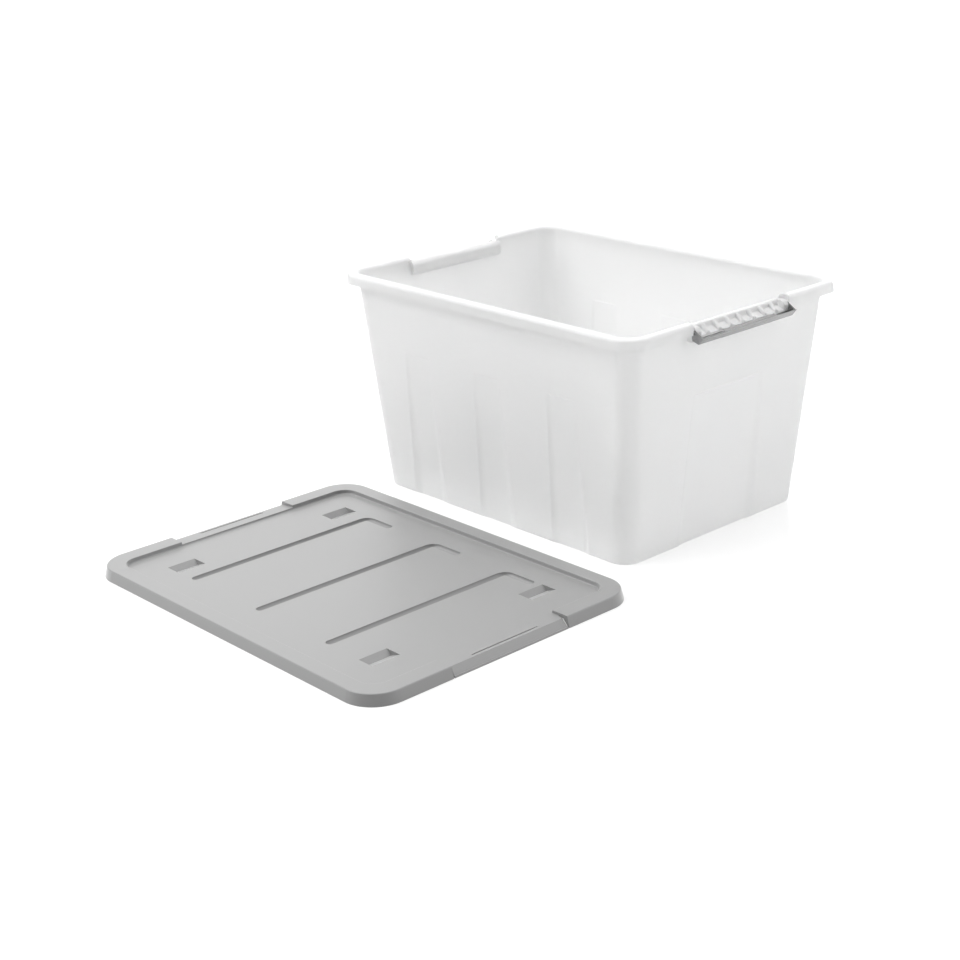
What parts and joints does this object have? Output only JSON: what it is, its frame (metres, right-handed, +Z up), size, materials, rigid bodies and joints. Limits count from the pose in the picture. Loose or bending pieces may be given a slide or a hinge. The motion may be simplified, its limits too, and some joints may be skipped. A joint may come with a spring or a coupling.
{
  "type": "lidded stacking storage crate",
  "caption": "Tapered rectangular storage tub with a rolled rim and end grips, a loose push-fit lid with a sunk panel, and a hinged wire-sheet latch clip at each end.",
  "frame": {"origin": "centre of the tub's underside, on the floor", "axes": "+X along the crate to its right end, +Y across it to its back, +Z up; the lid lies on the floor on the -Y side"},
  "size_m": [0.5393, 0.7697, 0.28],
  "materials": {
    "tub_plastic": "frosted translucent natural polypropylene",
    "lid_plastic": "mid grey polypropylene, fine satin texture",
    "clip_steel": "bright plated sheet steel",
    "pin_steel": "plain drawn wire"
  },
  "bodies": {
    "tub_body": {"tub": "tub_plastic", "left_front_pin": "pin_steel", "left_back_pin": "pin_steel", "right_front_pin": "pin_steel", "right_back_pin": "pin_steel"},
    "lid_body": {"lid": "lid_plastic"},
    "left_clip_body": {"left_clip": "clip_steel"},
    "right_clip_body": {"right_clip": "clip_steel"}
  },
  "joints": [
    {"name": "left_clip_hinge", "type": "hinge", "parent": "tub_body", "child": "left_clip_body", "pos_m": [-0.2483, 0, 0.2682], "axis": [0, 1, 0], "range_deg": [0, 128.5]},
    {"name": "right_clip_hinge", "type": "hinge", "parent": "tub_body", "child": "right_clip_body", "pos_m": [0.2483, 0, 0.2682], "axis": [0, -1, 0], "range_deg": [0, 128.5]},
    {"name": "lid_lift", "type": "slide", "parent": "tub_body", "child": "lid_body", "axis": [0, 0, 1], "range_m": [0, 0.36]}
  ]
}
